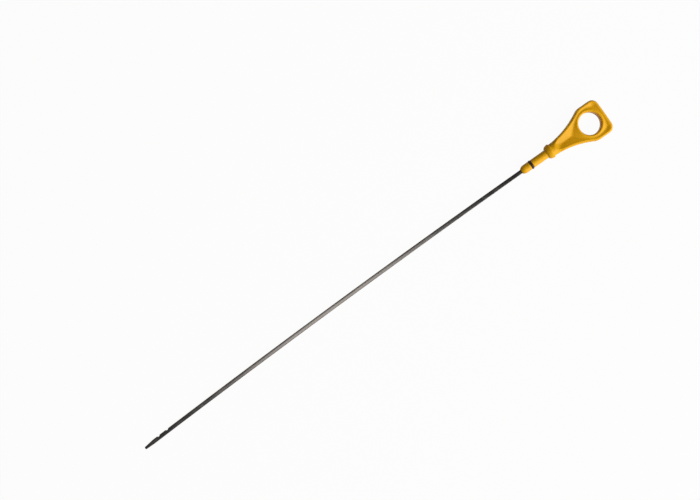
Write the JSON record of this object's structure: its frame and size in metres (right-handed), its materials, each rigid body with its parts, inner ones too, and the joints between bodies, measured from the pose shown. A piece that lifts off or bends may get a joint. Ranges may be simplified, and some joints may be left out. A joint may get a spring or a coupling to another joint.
{
  "type": "engine oil dipstick",
  "caption": "Long flat steel gauge blade with level notches, held in a moulded handle with a sealed plug, a stop collar and a flared grip that ends in a finger eye.",
  "frame": {"origin": "centre of the flat seat ring under the collar, on the plug's axis", "axes": "+X along the plug towards the finger eye, +Y across the grip towards the notched edge of the blade, +Z along the axis of the eye, up when it lies flat"},
  "size_m": [0.5253, 0.035, 0.014],
  "materials": {
    "moulded_plastic": "satin moulded, deep yellow",
    "seal_rubber": "matte black",
    "blade_steel": "dull grey rolled strip with oil film"
  },
  "bodies": {
    "root": {"handle": "moulded_plastic", "seal_ring": "seal_rubber", "blade": "blade_steel"}
  },
  "joints": []
}
